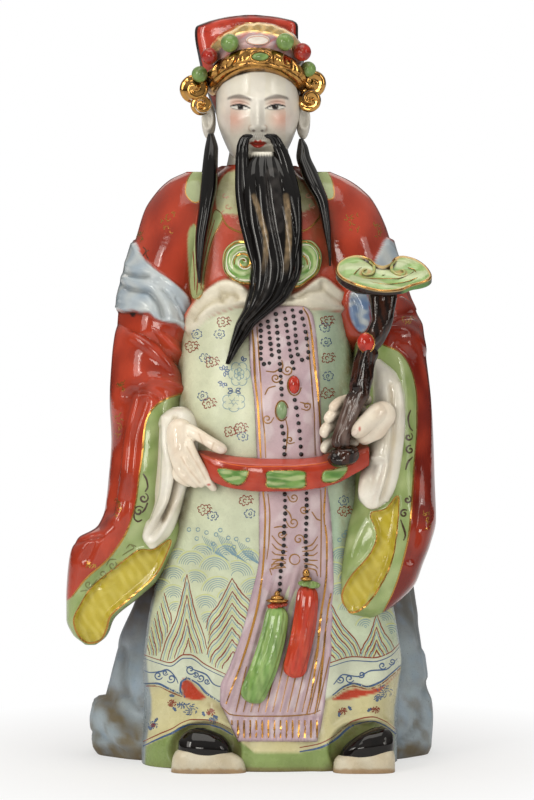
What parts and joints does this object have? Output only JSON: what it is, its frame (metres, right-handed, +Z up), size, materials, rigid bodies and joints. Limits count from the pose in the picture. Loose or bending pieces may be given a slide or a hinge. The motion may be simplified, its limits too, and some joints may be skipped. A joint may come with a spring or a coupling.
{
  "type": "porcelain figure",
  "caption": "Standing court official in enamelled porcelain, with a long beard, a winged hat, a hoop belt and a cloud-headed sceptre, cast with a flat underside.",
  "frame": {"origin": "on the flat underside, under the middle of the body", "axes": "+Z up; -Y is the way the figure faces; +X is to the right of a viewer in front of it"},
  "size_m": [0.2233, 0.1406, 0.447],
  "materials": {
    "glazed_porcelain": "cream white porcelain under clear glaze",
    "iron_red": "iron red overglaze enamel, glossy",
    "pale_green_ground": "celadon green ground of the robe, glossy",
    "leaf_green": "green enamel of the borders and jewels",
    "lilac": "lilac enamel of the hanging panel",
    "lemon_yellow": "yellow enamel of the sleeve linings",
    "slate_blue": "grey blue enamel of the mantle, soiled",
    "black_glaze": "mirror black glaze of the beard and shoes",
    "branch_brown": "dark brown glaze of the sceptre's stem",
    "gold_lustre": "worn gold lustre"
  },
  "bodies": {
    "root": {"porcelain_figure": "glazed_porcelain"}
  },
  "joints": []
}
